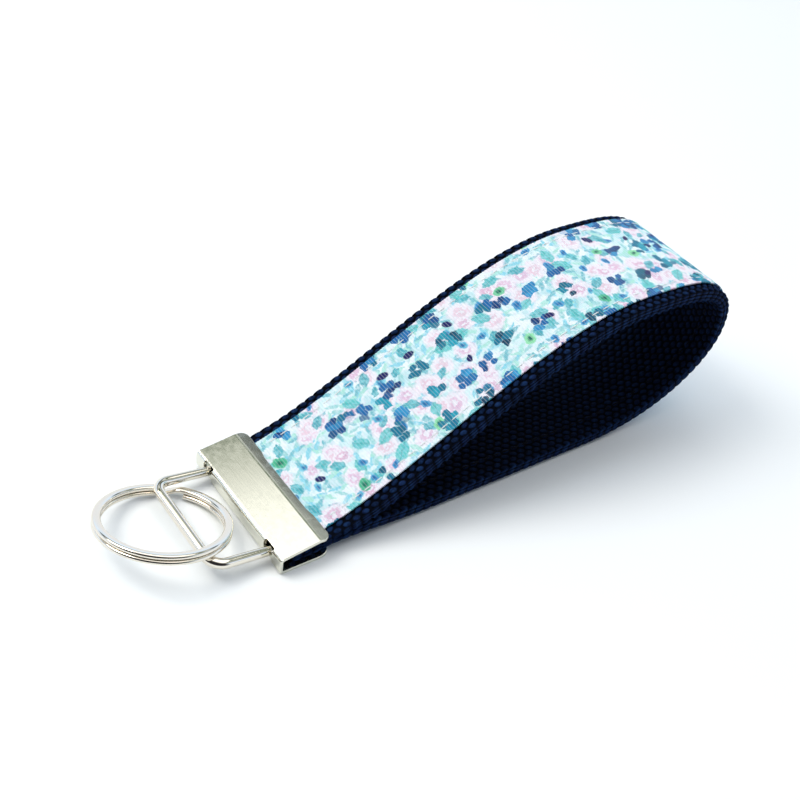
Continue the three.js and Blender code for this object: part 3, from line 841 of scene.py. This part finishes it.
def printed_cloth():
    finish, tree, shader = new_finish("watercolour floral print")
    place = strap_place(tree)
    wash = speckle(tree, place, 0.2, 3.0, 0.6, True)
    fine = speckle(tree, place, 1.1, 3.0, 0.6, True).outputs[0]
    pools = node(tree, "ShaderNodeSeparateColor", {"Color": wash.outputs["Color"]}).outputs
    colour = paint(tree, ease(tree, pools[0], 0.42, 0.6), tint("f1f5fa"), tint("d8eef3"))
    colour = paint(tree, ease(tree, pools[1], 0.5, 0.66, 0, 0.8), colour, tint("bfe0e8"))
    colour = paint(tree, ease(tree, fine, 0.5, 0.72, 0, 0.6), colour, tint("efe6f3"))

    # pale sprigs
    for shift, shade, share in (
        ((3, 9, 0), "a3d6da", 0.8),
        ((31, 2, 0), "8fd4e6", 0.8),
        ((17, 23, 0), "b2e4dc", 0.75),
        ((47, 33, 0), "7cbfcd", 0.6),
    ):
        sprig = motif(
            tree, place, Shift=shift, Cell=3.2, Length=2.0, Width=0.62, Point=1.0, Fray=1.0,
            Share=share, Soft=0.5,
        )
        cover = sums(tree, "MULTIPLY", sprig["Mask"], ease(tree, fine, 0.3, 0.55, 0.4, 1.0))
        colour = paint(tree, cover, colour, tint(shade))

    # blush roses
    for shift, cell, edge, middle in (
        ((5, 17, 0), 7.4, "f0d3e6", "e4afd0"),
        ((37, 41, 0), 7.4, "f3dce8", "ebbfd3"),
        ((82, 12, 0), 9.0, "edd0e2", "dfa4c6"),
    ):
        rose = motif(
            tree, place, Shift=shift, Cell=cell, Length=3.0, Width=2.4, Fray=1.3, Share=0.64,
            Soft=0.3,
        )
        swirl = sums(tree, "MULTIPLY_ADD", rose["Reach"], 10.0, sums(tree, "MULTIPLY", fine, 9.0))
        fold = ease(tree, sums(tree, "SINE", swirl), -0.5, 0.9)
        shade = paint(tree, fold, tint("f7ebf5"), tint(edge))
        heart = ease(tree, rose["Reach"], 0.8, 0.1, 0.0, 0.8)
        shade = paint(tree, sums(tree, "MULTIPLY", heart, fold), shade, tint(middle))
        colour = paint(tree, sums(tree, "MULTIPLY", rose["Mask"], 0.9), colour, shade)

    # mint and teal leaves
    for shift, share, size in (((11, 4, 0), 0.62, 2.2), ((63, 7, 0), 0.5, 1.8)):
        leaf = motif(
            tree, place, Shift=shift, Cell=6.2, Length=size, Width=size * 0.6, Point=0.8,
            Fray=1.0, Share=share, Soft=0.25,
        )
        shade = paint(tree, ease(tree, leaf["Tone two"], 0.2, 0.8), tint("189fb2"), tint("4cc2c2"))
        shade = paint(tree, ease(tree, fine, 0.42, 0.6, 0, 0.75), shade, tint("86d2dc"))
        vein = ease(tree, sums(tree, "ABSOLUTE", leaf["Side"]), 0.14, 0.0, 0.0, 0.55)
        shade = paint(tree, vein, shade, tint("1d8590"))
        colour = paint(tree, sums(tree, "MULTIPLY", leaf["Mask"], 0.9), colour, shade)

    # green buds with a dark heart
    bud = motif(
        tree, place, Shift=(23, 29, 0), Cell=12.0, Length=1.8, Width=1.4, Fray=0.8, Share=0.7,
        Soft=0.25,
    )
    shade = paint(tree, ease(tree, bud["Tone"], 0.3, 0.7), tint("93dfae"), tint("4fb892"))
    shade = paint(tree, ease(tree, bud["Reach"], 0.6, 0.15), shade, tint("0d6d5c"))
    colour = paint(tree, bud["Mask"], colour, shade)

    # small cornflowers
    flower = motif(
        tree, place, Shift=(41, 13, 0), Cell=5.6, Length=1.3, Width=0.85, Fray=0.9, Share=0.4,
        Soft=0.3,
    )
    shade = paint(tree, ease(tree, flower["Tone"], 0.2, 0.8), tint("3f97cc"), tint("6cc0dc"))
    shade = paint(tree, ease(tree, flower["Reach"], 0.7, 0.2, 0, 0.85), shade, tint("1c62a0"))
    colour = paint(tree, flower["Mask"], colour, shade)

    # clusters of dark blossoms: whole petals, kept only where a cluster falls
    for shift, dark, middle, light, share in (
        ((2, 38, 0), "023252", "067494", "26a6bf", 0.64),
        ((57, 21, 0), "062a66", "1266a6", "3a9ed0", 0.54),
    ):
        petal = motif(
            tree, place, Shift=shift, Cell=1.6, Length=1.35, Width=1.05, Fray=0.7, Soft=0.25
        )
        cluster = motif(
            tree, petal["Heart"], Shift=shift, Cell=8.2, Length=2.2, Width=1.8, Fray=0.0,
            Share=share, Soft=0.05,
        )
        shade = paint(tree, ease(tree, petal["Tone"], 0.0, 0.6), tint(dark), tint(middle))
        shade = paint(tree, ease(tree, petal["Tone two"], 0.55, 1.0), shade, tint(light))
        bloom = ease(tree, fine, 0.42, 0.62, 0, 0.4)
        shade = paint(tree, bloom, shade, tint(middle))
        shade = paint(tree, ease(tree, petal["Reach"], 0.7, 1.0, 0, 0.7), shade, tint(dark))
        colour = paint(tree, sums(tree, "MULTIPLY", cluster["Mask"], petal["Mask"]), colour, shade)

    # single indigo ovals
    berry = motif(
        tree, place, Shift=(71, 47, 0), Cell=11.0, Length=1.25, Width=0.8, Fray=0.4, Share=0.5,
        Soft=0.25,
    )
    colour = paint(tree, berry["Mask"], colour, tint("14185f"))

    # the ink lies on the crown of each cross cord and hardly reaches between them
    along = node(tree, "ShaderNodeSeparateXYZ", {"Vector": place}).outputs[0]
    phase = sums(tree, "MULTIPLY", along, 2 * math.pi / RIB_PITCH)
    valley = ease(tree, sums(tree, "COSINE", phase), 0.45, 1.0, 0.0, 0.26)
    colour = paint(tree, valley, colour, tint("e9eff4"))
    colour = paint(tree, 1.0, colour, (0.88, 0.95, 0.98, 1), "MULTIPLY")
    tree.links.new(colour, shader.inputs["Base Color"])

    grain = speckle(tree, place, 3.2, 3.0, 0.65, True).outputs[0]
    threads = node(
        tree,
        "ShaderNodeTexWave",
        {"Vector": place, "Scale": 1.2, "Distortion": 1.5, "Detail": 1.0},
        wave_type="BANDS",
        bands_direction="Y",
    ).outputs[1]
    height = sums(tree, "ADD", sums(tree, "MULTIPLY", threads, 0.4), grain)
    bump = node(tree, "ShaderNodeBump", {"Strength": 0.35, "Distance": 0.00006, "Height": height})
    tree.links.new(bump.outputs[0], shader.inputs["Normal"])
    shader.inputs["Roughness"].default_value = 0.62
    shader.inputs["Specular IOR Level"].default_value = 0.2
    shader.inputs["Sheen Weight"].default_value = 0.03
    return finish


def webbing_yarn():
    finish, tree, shader = new_finish("navy cotton webbing")
    place = strap_place(tree)
    tone = speckle(tree, place, 0.55, 2.0, 0.6, True)
    fine = speckle(tree, place, 4.0, 3.0, 0.7, True).outputs[0]
    colour = paint(tree, ease(tree, tone.outputs[0], 0.35, 0.65), tint("0a1a38"), tint("17305a"))
    hue = node(tree, "ShaderNodeSeparateColor", {"Color": tone.outputs["Color"]}).outputs[2]
    colour = paint(tree, ease(tree, hue, 0.5, 0.7, 0, 0.5), colour, tint("141f4a"))
    colour = paint(tree, ease(tree, fine, 0.5, 0.8, 0, 0.35), colour, tint("2c4c78"))
    # painted shade: where the rise mark is low, in the gaps between nubs and on the inner side, the
    # colour goes to near black
    rise = node(tree, "ShaderNodeAttribute", attribute_name="rise").outputs["Fac"]
    colour = paint(tree, ease(tree, rise, 0.1, 0.85), tint("020613"), colour)
    tree.links.new(colour, shader.inputs["Base Color"])
    strands = node(
        tree,
        "ShaderNodeTexWave",
        {"Vector": place, "Scale": 1.4, "Distortion": 3.0, "Detail": 2.0, "Detail Scale": 2.0},
        wave_type="BANDS",
        bands_direction="Y",
    ).outputs[1]
    height = sums(tree, "ADD", strands, fine)
    bump = node(tree, "ShaderNodeBump", {"Strength": 0.6, "Distance": 0.00012, "Height": height})
    tree.links.new(bump.outputs[0], shader.inputs["Normal"])
    shader.inputs["Roughness"].default_value = 0.85
    shader.inputs["Specular IOR Level"].default_value = 0.06
    return finish


def sewing_thread(name, code):
    finish, tree, shader = new_finish(name)
    place = strap_place(tree)
    twist = node(
        tree,
        "ShaderNodeTexWave",
        {"Vector": place, "Scale": 1.6, "Distortion": 0.4},
        wave_type="BANDS",
        bands_direction="DIAGONAL",
    ).outputs[1]
    colour = paint(tree, sums(tree, "MULTIPLY", twist, 0.25), tint(code), tint(code, 0.6))
    tree.links.new(colour, shader.inputs["Base Color"])
    bump = node(tree, "ShaderNodeBump", {"Strength": 0.5, "Distance": 0.00008, "Height": twist})
    tree.links.new(bump.outputs[0], shader.inputs["Normal"])
    shader.inputs["Roughness"].default_value = 0.7
    shader.inputs["Specular IOR Level"].default_value = 0.1
    return finish


def wear_group():
    """Faint handling marks: a soft cloudy change of gloss and short hairline scratches."""
    number = "NodeSocketFloat"
    group, into, out = new_group(
        "metal handling marks",
        [("Scale", number, 1.0), ("Amount", number, 1.0)],
        [("Gloss", number), ("Relief", number)],
    )
    chart = node(group, "ShaderNodeTexCoord").outputs["Object"]
    place = scaled(group, chart, into.outputs["Scale"])
    cloud = speckle(group, place, 900.0, 3.0, 0.6).outputs[0]
    stretch = node(group, "ShaderNodeMapping", {"Vector": place, "Scale": (4000, 250, 1500)})
    hair = speckle(group, stretch.outputs[0], 1.0, 2.0, 0.5).outputs[0]
    gloss = sums(group, "MULTIPLY", ease(group, cloud, 0.35, 0.7), into.outputs["Amount"])
    group.links.new(gloss, out.inputs["Gloss"])
    group.links.new(ease(group, hair, 0.4, 0.7), out.inputs["Relief"])
    return group


MARKS = wear_group()


def plated(name, code, rough, spread, scale, relief):
    finish, tree, shader = new_finish(name)
    marks = node(tree, "ShaderNodeGroup", {}, node_tree=MARKS)
    marks.inputs["Scale"].default_value = scale
    marks.inputs["Amount"].default_value = 1.0
    gloss = sums(tree, "MULTIPLY_ADD", marks.outputs["Gloss"], spread, rough)
    tree.links.new(gloss, shader.inputs["Roughness"])
    put = {"Strength": relief, "Distance": 0.00002, "Height": marks.outputs["Relief"]}
    bump = node(tree, "ShaderNodeBump", put)
    tree.links.new(bump.outputs[0], shader.inputs["Normal"])
    shader.inputs["Base Color"].default_value = tint(code)
    shader.inputs["Metallic"].default_value = 1.0
    return finish


def dress(piece, finish):
    piece.data.materials.clear()
    piece.data.materials.append(finish)


# ---- the keychain ----
navy = webbing_yarn()
white_thread = sewing_thread("white needle thread", "e4ebf0")
navy_thread = sewing_thread("navy bobbin thread", "040816")

PIECES = [
    (webbing(), navy, "strap", "webbing", "webbing_loop"),
    (ribbon(), printed_cloth(), "strap", "ribbon", "printed_ribbon"),
    (
        seam("front_needle_stitches", -1, 0.5, HELD_RUN + 2, 0.3),
        white_thread, "strap", "needle_thread", "seam_front_needle_thread",
    ),
    (
        seam("back_needle_stitches", 1, 0.5, HELD_RUN + 2, 0.3),
        white_thread, "strap", "needle_thread", "seam_back_needle_thread",
    ),
    (
        seam("front_bobbin_stitches", -1, -WEBBING_THICK - 0.05, HELD_RUN + 15, 0.36),
        navy_thread, "strap", "bobbin_thread", "seam_front_bobbin_thread",
    ),
    (
        seam("back_bobbin_stitches", 1, -WEBBING_THICK - 0.05, HELD_RUN + 15, 0.36),
        navy_thread, "strap", "bobbin_thread", "seam_back_bobbin_thread",
    ),
    (
        clamp(), plated("satin nickel sheet", "e2e1d4", 0.14, 0.05, 1.0, 0.07),
        "strap", "clamp_metal", "ribbon_clamp",
    ),
    (
        wire_loop(), plated("bright nickel wire", "e8e1d4", 0.07, 0.04, 1.0, 0.05),
        "loop", "wire_metal", "wire_loop",
    ),
    (
        split_ring(), plated("bright nickel ring", "e8e1d4", 0.07, 0.04, 1.0, 0.05),
        "ring", "ring_metal", "split_ring",
    ),
]
for piece, finish, body, slot, cad_node in PIECES:
    dress(piece, finish)
    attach(piece, body)
    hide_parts(cad_node)
bpy.data.objects.remove(LINE)

# ---- floor, light and camera ----
clear()
bpy.ops.mesh.primitive_plane_add(size=6, location=(0, 0, 0))
floor = named("floor")
floor_finish, floor_tree, floor_shader = new_finish("white paper floor")
floor_shader.inputs["Base Color"].default_value = (0.91, 0.95, 0.99, 1)
floor_shader.inputs["Roughness"].default_value = 0.9
floor_shader.inputs["Specular IOR Level"].default_value = 0.1
dress(floor, floor_finish)


def soft_light(name, place, size, watts, colour=(1, 1, 1)):
    bpy.ops.object.light_add(type="AREA", location=place)
    lamp = named(name)
    lamp.data.shape = "RECTANGLE"
    lamp.data.size, lamp.data.size_y = size
    lamp.data.energy = watts
    lamp.data.color = colour
    aim = Vector((0, 0, 0.01)) - Vector(place)
    lamp.rotation_euler = aim.to_track_quat("-Z", "Y").to_euler()
    return lamp


soft_light("window_light", (-0.4, 0.32, 0.62), (0.4, 0.4), 3.5, (1, 0.95, 0.87))

world = bpy.data.worlds.new("studio")
bpy.context.scene.world = world
world.use_nodes = True
sky = world.node_tree
sky.nodes.clear()
around = node(sky, "ShaderNodeTexCoord").outputs["Generated"]
height = node(sky, "ShaderNodeSeparateXYZ", {"Vector": around}).outputs[2]
# bands of the room from the horizon up, each with where it starts and is full
shade = (1.0, 1.06, 1.16, 1)
for low, high, colour in (
    (0.25, 0.36, (0.92, 1.12, 1.42)),
    (0.46, 0.52, (0.1, 0.11, 0.09)),
    (0.57, 0.63, (0.75, 0.8, 0.8)),
    (0.67, 0.73, (0.1, 0.15, 0.08)),
    (0.77, 0.807, (1.7, 1.7, 1.68)),
):
    shade = paint(sky, ease(sky, height, low, high), shade, (*colour, 1))
# the dark of the room in front of the table
front = node(sky, "ShaderNodeVectorMath", {0: around, 1: (-0.7, -0.71, 0)}, operation="DOT_PRODUCT")
shade = paint(sky, ease(sky, front.outputs["Value"], 0.2, 0.55), shade, (0.03, 0.03, 0.035, 1))
glow = node(sky, "ShaderNodeBackground", {"Color": shade, "Strength": 1.0})
sky_out = sky.nodes.new("ShaderNodeOutputWorld")
sky.links.new(glow.outputs[0], sky_out.inputs["Surface"])

scene = bpy.context.scene
scene.view_settings.view_transform = "Standard"

LENS = 54.1665
CAMERA_PLACE = Vector((-0.13158, -0.13072, 0.16791))
AZIMUTH, ELEVATION, ROLL = (math.radians(a) for a in (-43.52, 39.95, 12.34))
back = Vector(
    (
        math.sin(AZIMUTH) * math.cos(ELEVATION),
        -math.cos(AZIMUTH) * math.cos(ELEVATION),
        math.sin(ELEVATION),
    )
)
level = Vector((math.cos(AZIMUTH), math.sin(AZIMUTH), 0))
upright = back.cross(level)
right = math.cos(ROLL) * level + math.sin(ROLL) * upright
top = -math.sin(ROLL) * level + math.cos(ROLL) * upright
bpy.ops.object.camera_add(location=(0, 0, 0))
camera = named("camera")
camera.data.lens = LENS
camera.data.sensor_width = 36
camera.data.clip_start = 0.01
turn = Matrix((right, top, back)).transposed().to_4x4()
camera.matrix_world = Matrix.Translation(CAMERA_PLACE) @ turn
scene.camera = camera
